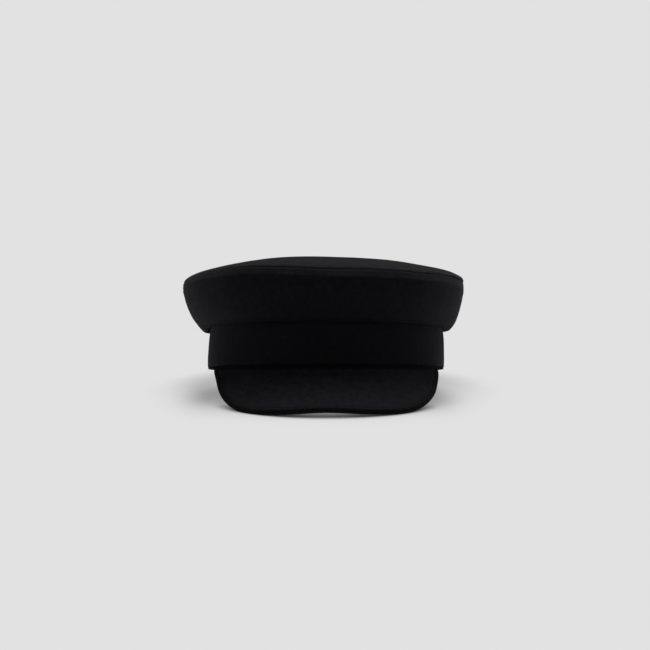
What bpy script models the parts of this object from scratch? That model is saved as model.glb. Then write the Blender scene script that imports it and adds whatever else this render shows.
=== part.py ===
"""Breton fisherman cap in thick wool cloth, resting on its back rim and on the edge of its peak.

The pieces are shaped in the cap's own frame: the band's rim lies in the plane z = 0, the front
faces -Y, and an angle round the cap is counted from the front towards +X. An empty then tips
the whole cap back until the rim and the peak both touch the floor.
"""

import math
from collections import namedtuple

import bmesh
import bpy
import numpy as np

# Head opening and band
HEAD_WIDTH = 0.171
HEAD_LENGTH = 0.190
BAND_WALL = 0.003
BAND_HEIGHT = 0.037
BAND_TAPER = 0.0008
BAND_FOLD_RADIUS = 0.001

# Crown: heights run from the hem that laps the band up to the top seam
CROWN_CLOTH = 0.002
HEM_LAP = 0.006
HEM_SAG = 0.006
HEM_ROLL_RADIUS = 0.0016
WALL_FRONT_HEIGHT = 0.0365
WALL_BACK_HEIGHT = 0.0255
FRONT_FLARE = 0.014
SIDE_FLARE = 0.0165
BACK_FLARE = 0.017
CROWN_RISE = 0.018
SIDE_SEAM_DEG = 94.0

# Peak: reach and drop run from the band's lower edge to the peak's outer edge
PEAK_THICKNESS = 0.0045
PEAK_REACH = 0.0395
PEAK_SPREAD = 0.012
PEAK_DROP = 0.0345
PEAK_HALF_SWEEP_DEG = 65.0

# Sewn pieces stay this far apart, and cloth is pressed this deep where it rests
SEAM_GAP = 0.0003
REST_PRESS = 0.0007

# Fineness of the facets
STEP_DEG = 5.0
HEM_STEPS = 5
WALL_STEPS = 8
TOP_STEPS = 9
PEAK_RIBS = 40
PEAK_STEPS = 8
EDGE_STEPS = 4
FOLD_STEPS = 2

# The crown's form round the head. Flare and sag are shares of the flares and of HEM_SAG, lift is
# a share of CROWN_RISE. The angles in degrees are those of the cloth against the level: as it
# leaves the hem, as it reaches the top seam, and as the top leaves that seam.
Station = namedtuple("Station", "angle flare lift sag leaves arrives shoulder")
CROWN_STATIONS = (
    Station(angle=0, flare=1.00, lift=0.00, sag=0.00, leaves=68, arrives=102, shoulder=38),
    Station(angle=35, flare=1.08, lift=-0.01, sag=0.02, leaves=62, arrives=98, shoulder=40),
    Station(angle=65, flare=1.00, lift=-0.04, sag=0.18, leaves=50, arrives=88, shoulder=66),
    Station(angle=90, flare=0.90, lift=-0.02, sag=0.36, leaves=27, arrives=76, shoulder=82),
    Station(angle=135, flare=1.05, lift=0.00, sag=0.30, leaves=45, arrives=92, shoulder=62),
    Station(angle=180, flare=1.00, lift=0.00, sag=0.15, leaves=52, arrives=98, shoulder=55),
    Station(angle=225, flare=1.05, lift=0.04, sag=0.35, leaves=42, arrives=92, shoulder=60),
    Station(angle=270, flare=1.16, lift=0.02, sag=0.55, leaves=34, arrives=68, shoulder=70),
    Station(angle=295, flare=1.04, lift=0.14, sag=0.12, leaves=48, arrives=90, shoulder=38),
    Station(angle=325, flare=1.08, lift=0.16, sag=0.00, leaves=62, arrives=98, shoulder=34),
)

# The peak's outer edge. Sweep is a share of the half sweep, negative on the -X side. Reach,
# spread and drop are shares of the three peak sizes.
Rib = namedtuple("Rib", "sweep reach spread drop")
PEAK_EDGE = (
    Rib(sweep=-1.00, reach=0.09, spread=-0.04, drop=0.12),
    Rib(sweep=-0.90, reach=0.36, spread=-0.28, drop=0.32),
    Rib(sweep=-0.75, reach=0.53, spread=-0.66, drop=0.66),
    Rib(sweep=-0.50, reach=0.77, spread=-0.92, drop=0.96),
    Rib(sweep=-0.25, reach=0.94, spread=-0.55, drop=1.00),
    Rib(sweep=0.00, reach=1.00, spread=0.00, drop=0.96),
    Rib(sweep=0.25, reach=0.94, spread=0.67, drop=0.99),
    Rib(sweep=0.50, reach=0.77, spread=1.10, drop=0.945),
    Rib(sweep=0.75, reach=0.53, spread=0.86, drop=0.65),
    Rib(sweep=0.90, reach=0.36, spread=0.46, drop=0.32),
    Rib(sweep=1.00, reach=0.09, spread=0.08, drop=0.12),
)

# How steeply the peak falls at its root and at its edge, and how far each end of a curve keeps its
# direction: shares of the curve's length, of CROWN_RISE at the shoulder and of the radius on top
PEAK_ROOT_DEG = 78.0
PEAK_TIP_DEG = 30.0
PEAK_ROOT_HOLD = 0.22
PEAK_TIP_HOLD = 0.45
WALL_HOLD = 0.38
SHOULDER_HOLD = 0.62
TOP_HOLD = 0.50

# Steepest lean that a resting cap could have, and the halvings that find the real one
STEEPEST_REST_DEG = 40.0
REST_HALVINGS = 40

TINY_TURN = 1e-4
SEW_WITHIN = 1e-6
SHARP_DEG = 50.0

WOOL_BLACK = (0.012, 0.012, 0.014, 1.0)
BAND_BLACK = (0.010, 0.010, 0.012, 1.0)
PEAK_BLACK = (0.014, 0.014, 0.016, 1.0)


def along_table(rows, column, places, period=0.0):
    """A smooth curve through one column of a table, read at an array of places."""
    knots = np.array([row[0] for row in rows], float)
    values = np.array([getattr(row, column) for row in rows], float)
    if period:
        knots = np.concatenate([knots - period, knots, knots + period])
        values = np.tile(values, 3)
    slopes = np.gradient(values, knots)
    left = np.clip(np.searchsorted(knots, places, side="right") - 1, 0, len(knots) - 2)
    span = knots[left + 1] - knots[left]
    t = (places - knots[left]) / span
    return (
        values[left] * (1 + 2 * t) * (1 - t) ** 2
        + values[left + 1] * t**2 * (3 - 2 * t)
        + slopes[left] * span * t * (1 - t) ** 2
        - slopes[left + 1] * span * t**2 * (1 - t)
    )


def bezier(start, start_pull, end_pull, end, steps):
    """Points of a cubic curve for each row of its four corners: rows x (steps + 1) x axes."""
    t = np.linspace(0, 1, steps + 1)[None, :, None]
    corners = [corner[:, None, :] for corner in (start, start_pull, end_pull, end)]
    return (
        corners[0] * (1 - t) ** 3
        + corners[1] * 3 * t * (1 - t) ** 2
        + corners[2] * 3 * t**2 * (1 - t)
        + corners[3] * t**3
    )


def direction(degrees):
    """Unit steps outward and up for an angle above the level."""
    turn = np.radians(degrees)
    return np.stack([np.cos(turn), np.sin(turn)], axis=-1)


def on_band(angles, out, up):
    """Points that lie `out` from the band's outer face, along its normal, at height `up`."""
    half_width = HEAD_WIDTH / 2 + BAND_WALL
    half_length = HEAD_LENGTH / 2 + BAND_WALL
    sine, cosine = np.sin(angles), np.cos(angles)
    normal = np.stack([half_length * sine, -half_width * cosine], axis=-1)
    normal /= np.linalg.norm(normal, axis=-1, keepdims=True)
    plan = np.stack([half_width * sine, -half_length * cosine], axis=-1)
    plan = plan + normal * np.asarray(out)[..., None]
    return np.concatenate([plan, np.broadcast_to(np.asarray(up), plan.shape[:-1])[..., None]], -1)


def station(angles, column):
    return along_table(CROWN_STATIONS, column, np.degrees(angles) % 360, period=360)


def crown_flare(angles):
    """How far the top seam stands outside the band's face."""
    frontness = np.cos(angles) ** 2
    end_flare = np.where(np.cos(angles) > 0, FRONT_FLARE, BACK_FLARE)
    return (end_flare * frontness + SIDE_FLARE * (1 - frontness)) * station(angles, "flare")


def seam_height(angles):
    """Height of the top seam above the rim's plane, lower at the back than at the front."""
    middle = (WALL_FRONT_HEIGHT + WALL_BACK_HEIGHT) / 2
    lean = (WALL_FRONT_HEIGHT - WALL_BACK_HEIGHT) / 2
    lift = station(angles, "lift") * CROWN_RISE
    return BAND_HEIGHT - HEM_LAP + middle + lean * np.cos(angles) + lift


def crown_middle(angles):
    """The middle of the crown's cloth: rows by angle, from behind the hem to the centre."""
    half = CROWN_CLOTH / 2
    leg_out = SEAM_GAP + half
    hem_centre_up = BAND_HEIGHT - HEM_LAP - HEM_SAG * station(angles, "sag") + half + HEM_ROLL_RADIUS
    leg_top = on_band(angles, leg_out - BAND_TAPER, BAND_HEIGHT)[:, None, :]

    share = np.linspace(0, 1, HEM_STEPS)
    turns = np.radians(180 + share[None, :] * (90 + station(angles, "leaves")[:, None]))
    roll_out = leg_out + HEM_ROLL_RADIUS * (1 + np.cos(turns))
    roll_up = hem_centre_up[:, None] + HEM_ROLL_RADIUS * np.sin(turns)
    roll = on_band(angles[:, None], roll_out, roll_up)

    flare = crown_flare(angles) - half
    start = np.stack([roll_out[:, -1], roll_up[:, -1]], axis=-1)
    end = np.stack([flare, seam_height(angles)], axis=-1)
    pull = np.linalg.norm(end - start, axis=-1, keepdims=True) * WALL_HOLD
    wall = bezier(
        start,
        start + pull * direction(station(angles, "leaves")),
        end - pull * direction(station(angles, "arrives")),
        end,
        WALL_STEPS,
    )
    wall = on_band(angles[:, None], wall[..., 0], wall[..., 1])

    return np.concatenate([leg_top, roll[:, :-1], wall, crown_top_middle(angles, wall[:, -1])], axis=1)


def crown_top_middle(angles, seam):
    """The middle of the top's cloth from the seam, left out, to the centre of the crown."""
    centre = np.array([0, (BACK_FLARE - FRONT_FLARE) / 2, crown_centre_height()])
    inward = centre[:2] - seam[:, :2]
    length = np.linalg.norm(inward, axis=-1)
    inward = inward / length[:, None]
    shoulder = direction(station(angles, "shoulder"))
    lean = (WALL_BACK_HEIGHT - WALL_FRONT_HEIGHT) / (HEAD_LENGTH + FRONT_FLARE + BACK_FLARE)
    start = np.stack([np.zeros_like(length), seam[:, 2]], axis=-1)
    end = np.stack([length, np.full_like(length, centre[2])], axis=-1)
    level = np.stack([np.ones_like(length), lean * inward[:, 1]], axis=-1)
    profile = bezier(
        start,
        start + shoulder * CROWN_RISE * SHOULDER_HOLD,
        end - level * length[:, None] * TOP_HOLD,
        end,
        TOP_STEPS,
    )[:, 1:]
    plan = seam[:, None, :2] + inward[:, None, :] * profile[..., :1]
    return np.concatenate([plan, profile[..., 1:]], axis=-1)


def crown_centre_height():
    middle = (WALL_FRONT_HEIGHT + WALL_BACK_HEIGHT) / 2
    return BAND_HEIGHT - HEM_LAP + middle + CROWN_RISE - CROWN_CLOTH / 2


def normals_of(surface, angles, pole=False):
    """Outward normals of a surface given as a function of an array of angles."""
    round_it = surface(angles + TINY_TURN) - surface(angles - TINY_TURN)
    up_it = np.gradient(surface(angles), axis=1)
    if pole:
        round_it[:, -1] = round_it[:, -2]
    normal = np.cross(round_it, up_it)
    return normal / np.linalg.norm(normal, axis=-1, keepdims=True)


def wall_sections(middle, normals, thickness):
    """Closed loops round a wall: up its outer face and down its inner one."""
    half = np.asarray(thickness) / 2
    return np.concatenate([middle + normals * half, (middle - normals * half)[:, ::-1]], axis=1)


def angles_between(start_deg, end_deg):
    """The two ends and every whole step between them, in radians."""
    first = math.floor(start_deg / STEP_DEG) + 1
    last = math.ceil(end_deg / STEP_DEG) - 1
    inside = [step * STEP_DEG for step in range(first, last + 1)]
    return np.radians([start_deg, *inside, end_deg])


def panel_sections(start_deg, end_deg):
    """The crown's side wall between two angles, drawn back by half a seam gap at each end."""
    half_gap_deg = math.degrees(SEAM_GAP / HEAD_WIDTH)
    angles = angles_between(start_deg + half_gap_deg, end_deg - half_gap_deg)
    count = HEM_STEPS + WALL_STEPS + 1
    middle = crown_middle(angles)[:, :count]
    return wall_sections(middle, normals_of(crown_middle, angles, pole=True)[:, :count], CROWN_CLOTH)


def top_sections():
    angles = np.radians(np.arange(0, 360, STEP_DEG))
    first = HEM_STEPS + WALL_STEPS
    middle = crown_middle(angles)[:, first:]
    normals = normals_of(crown_middle, angles, pole=True)[:, first:]
    normals[:, -1] = normals[:, -1].mean(axis=0)
    onward = middle[:, 1] - middle[:, 0]
    onward -= normals[:, 0] * (onward * normals[:, 0]).sum(axis=-1, keepdims=True)
    middle[:, 0] += SEAM_GAP * onward / np.linalg.norm(onward, axis=-1, keepdims=True)
    return wall_sections(middle, normals, CROWN_CLOTH)


def band_sections():
    """Upright strip with folded, rounded edges, a little narrower at its top."""
    corners = (
        (-BAND_FOLD_RADIUS, BAND_FOLD_RADIUS, -90),
        (-BAND_FOLD_RADIUS, BAND_HEIGHT - BAND_FOLD_RADIUS, 0),
        (BAND_FOLD_RADIUS - BAND_WALL, BAND_HEIGHT - BAND_FOLD_RADIUS, 90),
        (BAND_FOLD_RADIUS - BAND_WALL, BAND_FOLD_RADIUS, 180),
    )
    section = np.array(
        [
            np.array([out, up]) + BAND_FOLD_RADIUS * direction(start + 90 * step / FOLD_STEPS)
            for out, up, start in corners
            for step in range(FOLD_STEPS + 1)
        ]
    )
    angles = np.radians(np.arange(0, 360, STEP_DEG))[:, None]
    out = section[None, :, 0] - BAND_TAPER * section[None, :, 1] / BAND_HEIGHT
    return on_band(angles, out, section[None, :, 1])


def peak_middle(sweeps):
    """The middle of the peak's board: a rib for each sweep, from the band to the outer edge."""
    angles = np.radians(PEAK_HALF_SWEEP_DEG) * sweeps
    root = on_band(angles, -BAND_WALL / 2, -SEAM_GAP)
    edge = np.stack(
        [
            root[:, 0] + PEAK_SPREAD * along_table(PEAK_EDGE, "spread", sweeps),
            root[:, 1] - PEAK_REACH * along_table(PEAK_EDGE, "reach", sweeps),
            -PEAK_DROP * along_table(PEAK_EDGE, "drop", sweeps),
        ],
        axis=-1,
    )
    forward = edge[:, :2] - root[:, :2]
    reach = np.linalg.norm(forward, axis=-1)
    forward /= reach[:, None]
    start = np.stack([np.zeros_like(reach), root[:, 2]], axis=-1)
    tip_way = direction(-PEAK_TIP_DEG)
    end = np.stack([reach, edge[:, 2]], axis=-1) - tip_way * PEAK_THICKNESS / 2
    length = np.linalg.norm(end - start, axis=-1, keepdims=True)
    profile = bezier(
        start,
        start + direction(-PEAK_ROOT_DEG) * length * PEAK_ROOT_HOLD,
        end - tip_way * length * PEAK_TIP_HOLD,
        end,
        PEAK_STEPS,
    )
    plan = root[:, None, :2] + forward[:, None, :] * profile[..., :1]
    return np.concatenate([plan, profile[..., 1:]], axis=-1)


def peak_sections():
    """Loops over the board's top, round its outer edge and back underneath."""
    sweeps = np.linspace(-1, 1, PEAK_RIBS + 1)
    middle = peak_middle(sweeps)
    normals = normals_of(peak_middle, sweeps)
    thickness = np.full(PEAK_STEPS + 1, PEAK_THICKNESS)
    thickness[0] = BAND_WALL
    thickness = thickness[None, :, None]
    onward = middle[:, -1] - middle[:, -2]
    onward -= normals[:, -1] * (onward * normals[:, -1]).sum(axis=-1, keepdims=True)
    onward /= np.linalg.norm(onward, axis=-1, keepdims=True)
    turns = np.pi * np.arange(1, EDGE_STEPS + 1) / (EDGE_STEPS + 1)
    edge = middle[:, -1:] + PEAK_THICKNESS / 2 * (
        normals[:, -1:] * np.cos(turns)[None, :, None] + onward[:, None] * np.sin(turns)[None, :, None]
    )
    over = middle + normals * thickness / 2
    under = (middle - normals * thickness / 2)[:, ::-1]
    return np.concatenate([over, edge, under], axis=1)


def heights_when_tipped(points, tilt):
    """Heights in the cap's frame turned back by an angle, so that its front rises."""
    return -points[..., 1] * math.sin(tilt) + points[..., 2] * math.cos(tilt)


def find_rest(band, peak):
    """The tilt at which the band and the peak are equally low, and the floor's height there."""
    low, high = 0.0, math.radians(STEEPEST_REST_DEG)
    for _ in range(REST_HALVINGS):
        tilt = (low + high) / 2
        if heights_when_tipped(peak, tilt).min() < heights_when_tipped(band, tilt).min():
            low = tilt
        else:
            high = tilt
    return tilt, heights_when_tipped(band, tilt).min() + REST_PRESS


def pressed(sections, tilt, floor):
    """The same loops with whatever is below the floor pressed up to it."""
    up = np.array([0, -math.sin(tilt), math.cos(tilt)])
    below = np.minimum(heights_when_tipped(sections, tilt) - floor, 0)
    return sections - below[..., None] * up


def solid_from(name, sections, closed, material, parent):
    """One object: a grid laid loop by loop over its sections, then sewn shut where its edges meet.

    Round the cap the last loop is the first again. A piece with two ends is closed at each by a
    loop drawn together along its own middle.
    """
    if closed:
        loops = np.concatenate([sections, sections[:1]])
    else:
        drawn_shut = (sections + sections[:, ::-1]) / 2
        loops = np.concatenate([drawn_shut[:1], sections, drawn_shut[-1:]])
    loops = np.concatenate([loops, loops[:, :1]], axis=1)

    mesh = bmesh.new()
    rows, columns = loops.shape[:2]
    grid = bmesh.ops.create_grid(mesh, x_segments=columns - 1, y_segments=rows - 1, size=1)
    for vert, point in zip(grid["verts"], loops.reshape(-1, 3)):
        vert.co = point
    bmesh.ops.remove_doubles(mesh, verts=mesh.verts, dist=SEW_WITHIN)
    loose = [edge for edge in mesh.edges if not edge.link_faces]
    bmesh.ops.delete(mesh, geom=loose, context="EDGES")
    bmesh.ops.recalc_face_normals(mesh, faces=mesh.faces)

    data = bpy.data.meshes.new(name)
    mesh.to_mesh(data)
    mesh.free()
    data.shade_smooth()
    data.set_sharp_from_angle(angle=math.radians(SHARP_DEG))
    data.materials.append(material)
    piece = bpy.data.objects.new(name, data)
    piece.parent = parent
    bpy.context.scene.collection.objects.link(piece)


def cloth_material(name, colour):
    material = bpy.data.materials.new(name)
    material.use_nodes = True
    shader = material.node_tree.nodes["Principled BSDF"]
    shader.inputs["Base Color"].default_value = colour
    shader.inputs["Roughness"].default_value = 0.95
    shader.inputs["Metallic"].default_value = 0.0
    return material


def main():
    for old in list(bpy.data.objects):
        bpy.data.objects.remove(old)

    band, peak = band_sections(), peak_sections()
    tilt, floor = find_rest(band, peak)
    pieces = (
        ("band", pressed(band, tilt, floor), True, BAND_BLACK),
        ("peak", pressed(peak, tilt, floor), False, PEAK_BLACK),
        ("crown_front", panel_sections(-SIDE_SEAM_DEG, SIDE_SEAM_DEG), False, WOOL_BLACK),
        ("crown_back", panel_sections(SIDE_SEAM_DEG, 360 - SIDE_SEAM_DEG), False, WOOL_BLACK),
        ("crown_top", top_sections(), True, WOOL_BLACK),
    )

    every_point = np.concatenate([sections.reshape(-1, 3) for _, sections, _, _ in pieces])
    across = every_point[:, 0]
    deep = every_point[:, 1] * math.cos(tilt) + every_point[:, 2] * math.sin(tilt)
    stand = bpy.data.objects.new("cap_at_rest", None)
    stand.rotation_euler = (-tilt, 0, 0)
    stand.location = (-(across.min() + across.max()) / 2, -(deep.min() + deep.max()) / 2, -floor)
    bpy.context.scene.collection.objects.link(stand)

    for name, sections, closed, colour in pieces:
        solid_from(name, sections, closed, cloth_material(name + "_cloth", colour), stand)


main()
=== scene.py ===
# %% [markdown]
# # A Breton fisherman cap in black wool
# This notebook dresses a sewn cap: a low domed top, a flared crown wall in two panels, an upright
# head band and a stiff peak. The solids give every piece its size and its place. What is added here
# is what cloth does: edges that roll into their seams, puckers, a turned edge along the peak, a
# matted nap, and the way wool turns pale where the eye looks along it.

# %% Load the frame
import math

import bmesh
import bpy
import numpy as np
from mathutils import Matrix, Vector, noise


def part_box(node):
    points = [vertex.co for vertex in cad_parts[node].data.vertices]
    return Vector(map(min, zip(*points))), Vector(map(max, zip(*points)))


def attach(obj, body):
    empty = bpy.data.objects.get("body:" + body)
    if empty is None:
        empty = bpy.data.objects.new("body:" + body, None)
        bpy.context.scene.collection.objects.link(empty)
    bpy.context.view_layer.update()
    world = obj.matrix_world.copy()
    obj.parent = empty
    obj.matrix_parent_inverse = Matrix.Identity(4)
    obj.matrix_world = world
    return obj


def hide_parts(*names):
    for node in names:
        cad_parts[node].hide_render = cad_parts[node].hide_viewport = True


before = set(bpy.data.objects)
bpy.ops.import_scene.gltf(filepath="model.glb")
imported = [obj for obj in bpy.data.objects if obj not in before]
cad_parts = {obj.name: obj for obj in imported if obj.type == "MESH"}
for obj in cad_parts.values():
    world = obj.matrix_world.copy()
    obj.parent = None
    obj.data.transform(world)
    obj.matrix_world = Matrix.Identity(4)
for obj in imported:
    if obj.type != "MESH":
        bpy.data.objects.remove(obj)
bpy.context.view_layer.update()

# %% [markdown]
# ## The size to keep
# The solids have the cap's true size, and the cloth laid over them may stand out by only a few
# millimetres.

# %% [markdown]
# ## Where things are on the cap
# The cap leans back on its rim. To say "up the wall" or "round the head" the lean is needed, and the
# band tells it: its rim is as high in front as the cap is tipped. With that, any point can be given
# in the cap's own axes: across, from the brow to the nape, and up from the rim.

# %% Find the cap's own axes
band_low, band_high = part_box("band")
band_points = np.array([vertex.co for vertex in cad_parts["band"].data.vertices])
BROW_DEPTH = 0.004
TOUCHES_TABLE = 0.0005
at_brow = [point for point in band_points if point[1] < band_low.y + BROW_DEPTH]
on_table = [point for point in band_points if point[2] < TOUCHES_TABLE]
rim_front = min(at_brow, key=lambda point: point[2])
rim_back = max(on_table, key=lambda point: point[1])
LEAN = math.atan2(rim_front[2] - rim_back[2], rim_back[1] - rim_front[1])
RIM_MIDDLE = np.array(
    [
        (band_low.x + band_high.x) / 2,
        (rim_front[1] + rim_back[1]) / 2,
        (rim_front[2] + rim_back[2]) / 2,
    ]
)
print("lean, in degrees:", round(math.degrees(LEAN), 2))


def on_cap(points):
    """Points in the cap's own axes: the rim is level and its middle is the origin."""
    away = points - RIM_MIDDLE
    own = away.copy()
    own[:, 1] = away[:, 1] * math.cos(LEAN) - away[:, 2] * math.sin(LEAN)
    own[:, 2] = away[:, 1] * math.sin(LEAN) + away[:, 2] * math.cos(LEAN)
    return own


def off_cap(own):
    """The way back, from the cap's own axes to the room's."""
    away = own.copy()
    away[:, 1] = own[:, 1] * math.cos(LEAN) + own[:, 2] * math.sin(LEAN)
    away[:, 2] = -own[:, 1] * math.sin(LEAN) + own[:, 2] * math.cos(LEAN)
    return away + RIM_MIDDLE


def round_head(own):
    """The angle round the head in degrees: 0 at the brow, 90 at the cap's +X side."""
    return np.degrees(np.arctan2(own[:, 0], -own[:, 1]))


def turn_between(angle, other):
    """The angle from one direction round the head to another, from -180 to 180 degrees."""
    return (angle - other + 180) % 360 - 180


# %% [markdown]
# ## The line of the top seam
# Puckers, the rolled edge and the shallow step over the seam allowance all follow the seam between
# the wall and the top. The solid of the top ends in that seam, so its outermost points give the
# line. They lie about five degrees apart, so each look takes in four degrees to either side and
# always meets one. A look that misses would find a point further in, and dent the cloth there.

# %% Trace the top seam
top_own = on_cap(np.array([vertex.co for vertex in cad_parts["crown_top"].data.vertices]))
top_angle = round_head(top_own)
top_radius = np.hypot(top_own[:, 0], top_own[:, 1])
SEAM_ANGLES = np.arange(-180.0, 180.0, 5.0)
LOOK_TO_SIDE = 4.0
seam_rows = set()
for angle in SEAM_ANGLES:
    near = np.abs(turn_between(top_angle, angle)) < LOOK_TO_SIDE
    outermost = np.flatnonzero(near)[top_radius[near].argmax()]
    seam_rows.add((top_angle[outermost], top_radius[outermost], top_own[outermost, 2]))
row_angles, row_radii, row_heights = np.array(sorted(seam_rows)).T
SEAM_RADII = np.interp(SEAM_ANGLES, row_angles, row_radii, period=360)
SEAM_HEIGHTS = np.interp(SEAM_ANGLES, row_angles, row_heights, period=360)


def from_seam(own):
    """How far each point is from the top seam, measured square to it."""
    angle = round_head(own)
    radius = np.interp(angle, SEAM_ANGLES, SEAM_RADII, period=360)
    height = np.interp(angle, SEAM_ANGLES, SEAM_HEIGHTS, period=360)
    return np.hypot(radius - np.hypot(own[:, 0], own[:, 1]), height - own[:, 2])


at_brow_and_nape = 1000 * np.interp((0, -180), SEAM_ANGLES, SEAM_HEIGHTS)
print("seam height, brow and nape, in mm:", at_brow_and_nape.round(1).tolist())

# %% [markdown]
# ## From solid to cloth
# Each solid arrives as loose triangles. Cloth wants even four-sided faces, because a subdivision
# surface is only as smooth as its cage. So a copy is merged and its triangles are paired into quads,
# and the cut edges are bevelled: on the real cap both cloths of a seam turn inwards, and the bevels
# on either side make that little valley. One bevel face is enough, since the smoothing rounds it.
# Modelling each panel anew would also work, but then it might not sit where its solid does.

# %% Turn a solid into a cage, and a cage into a piece
MERGE_WITHIN = 1e-5
SHARP_TURN = math.radians(55)
SMOOTHING_LEVELS = 3


def cage_from(node):
    """A copy of a solid as a bmesh of quads."""
    cage = bmesh.new()
    cage.from_mesh(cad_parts[node].data)
    bmesh.ops.remove_doubles(cage, verts=cage.verts, dist=MERGE_WITHIN)
    bmesh.ops.join_triangles(
        cage,
        faces=cage.faces,
        angle_face_threshold=math.pi,
        angle_shape_threshold=math.pi,
    )
    return cage


def roll_cut_edges(cage, radius):
    """Rounds the edges where the cloth was cut, so that it turns into its seam."""
    cut = [edge for edge in cage.edges if edge.calc_face_angle(0) > SHARP_TURN]
    bmesh.ops.bevel(
        cage,
        geom=cut,
        offset=radius,
        offset_type="OFFSET",
        segments=1,
        profile=0.5,
        affect="EDGES",
        clamp_overlap=True,
        material=-1,
    )


def smooth_piece(cage, name):
    """Finishes a cage with a Subdivision Surface and keeps the smooth result as the mesh."""
    rough = bpy.data.meshes.new(name + "_cage")
    cage.to_mesh(rough)
    cage.free()
    piece = bpy.data.objects.new(name, rough)
    bpy.context.scene.collection.objects.link(piece)
    smoothing = piece.modifiers.new("smoothing", "SUBSURF")
    smoothing.levels = SMOOTHING_LEVELS
    smoothing.render_levels = SMOOTHING_LEVELS
    graph = bpy.context.evaluated_depsgraph_get()
    piece.data = bpy.data.meshes.new_from_object(piece.evaluated_get(graph))
    piece.modifiers.clear()
    piece.data.name = name
    bpy.data.meshes.remove(rough)
    piece.data.shade_smooth()
    print(name, "has", 2 * len(piece.data.polygons), "triangles")
    return piece


# %% [markdown]
# ## Moving cloth
# Every dent and fold below is a sum worked out for all points of a piece at once, in the cap's own
# axes. These three read the points, read which way they face, and put them in their new places.

# %% Read and move all points of a piece at once


def points_of(piece):
    """The points of a piece in the cap's own axes."""
    flat = np.empty(3 * len(piece.data.vertices), np.float32)
    piece.data.vertices.foreach_get("co", flat)
    return on_cap(flat.reshape(-1, 3).astype(float))


def normals_of(piece):
    """Which way each point of a piece faces, in the cap's own axes."""
    flat = np.empty(3 * len(piece.data.vertices), np.float32)
    piece.data.vertex_normals.foreach_get("vector", flat)
    return on_cap(flat.reshape(-1, 3).astype(float) + RIM_MIDDLE)


def place(piece, own):
    """Puts the points of a piece where they now belong."""
    piece.data.vertices.foreach_set("co", off_cap(own).astype(np.float32).ravel())
    piece.data.update()


# %% [markdown]
# ## Soft numbers and soft steps
# Cloth never repeats itself, but it isn't random either: one dent runs into the next. Perlin noise
# gives such numbers. `hills` reads it at a given width, and `bump` is a single soft rise. With
# `soft_step` and `swell` a dent begins and ends without a crease.

# %% Make helpers for dents and rises


def hills(points, width, seed):
    """Smooth numbers from about -1 to 1, whose hills are `width` metres across."""
    shift = Vector((17.3 * seed, 5.1 * seed, 9.7 * seed))
    return np.array([noise.noise(Vector(point) + shift) for point in (points / width).tolist()])


def bump(distance, width):
    """1 where the distance is 0, dying away softly within about twice the width."""
    return np.exp(-((distance / width) ** 2))


def soft_step(share):
    """A share from 0 to 1, rounded where it starts and where it ends, so it leaves no crease."""
    share = np.clip(share, 0, 1)
    return share**2 * (3 - 2 * share)


def swell(reach):
    """0 at the start, 1 at one reach, and then dying away slowly."""
    return reach * np.exp(1 - reach)


CAP_HEART = np.array([0.0, 0.0, 0.020])


def outwards(own):
    """The way out of the cap: upwards over the top, and nearly level from 100 mm out."""
    way = own - CAP_HEART
    way[:, 2] *= np.clip(1.6 - 14.0 * np.hypot(own[:, 0], own[:, 1]), 0.15, 1.0)
    return way / np.linalg.norm(way, axis=1, keepdims=True)


# %% [markdown]
# ## How this cap has settled
# A worn cap isn't the same on both sides. Here the fullness has moved to the upper corner on one
# side, and the wall is drawn in a little over the hem on the other. Two tables say by how many
# millimetres the cloth stands out or in at the cap's sides, against the height over the rim, and a
# third by how many the top is raised or sunk, from one side to the other. Every piece takes its share
# from the same tables, so no seam opens. Each table is read softly, so its corners leave no creases.

# %% Settle the cap
# (height over the rim in metres, out in mm)
LEFT_SIDE = (
    (-0.030, 0.0), (-0.022, 1.6), (-0.014, 2.8), (-0.004, 1.8), (0.000, 0.0), (0.008, 0.0),
    (0.020, -0.7), (0.027, -1.7), (0.032, -2.2), (0.037, -1.2), (0.044, -0.2), (0.050, 0.1),
    (0.056, -0.8), (0.060, -0.2), (0.063, 1.0), (0.070, 1.0),
)
RIGHT_SIDE = (
    (-0.030, 0.3), (-0.020, 2.4), (-0.004, 2.8), (0.000, 0.8), (0.008, 0.9), (0.020, 1.1),
    (0.027, 0.8), (0.032, -1.1), (0.038, -1.1), (0.044, -0.5), (0.050, 0.0), (0.056, -0.2),
    (0.062, 1.2), (0.066, 2.6), (0.070, 2.8),
)
# (across the cap in metres, up in mm)
TOP_LIFT = (
    (-0.110, -0.3), (-0.080, -0.3), (-0.055, -0.3), (-0.035, 0.6), (0.020, 1.0), (0.035, 0.8),
    (0.050, 0.3), (0.075, -0.3), (0.088, 0.4), (0.096, 1.5), (0.110, 1.4),
)
SIDE_BLUR = 0.003
TOP_BLUR = 0.016
HALF_WIDTH = 0.100
LIFT_FROM = 0.0680
LIFT_OVER = 0.0075


def read_curve(table, at, blur):
    """Millimetres read from a table of points, in metres, with its corners rounded over `blur`."""
    keys, values = np.array(table).T
    offsets = np.linspace(-1, 1, 9)
    weights = np.cos(offsets * math.pi / 2) ** 2
    reads = [np.interp(at + blur * offset, keys, values) for offset in offsets]
    return 1e-3 * sum(weight * read for weight, read in zip(weights, reads)) / weights.sum()


def to_side(own):
    """0 at the middle of the cap and 1 at its two sides."""
    return np.clip(np.abs(own[:, 0]) / HALF_WIDTH, 0, 1)


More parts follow.
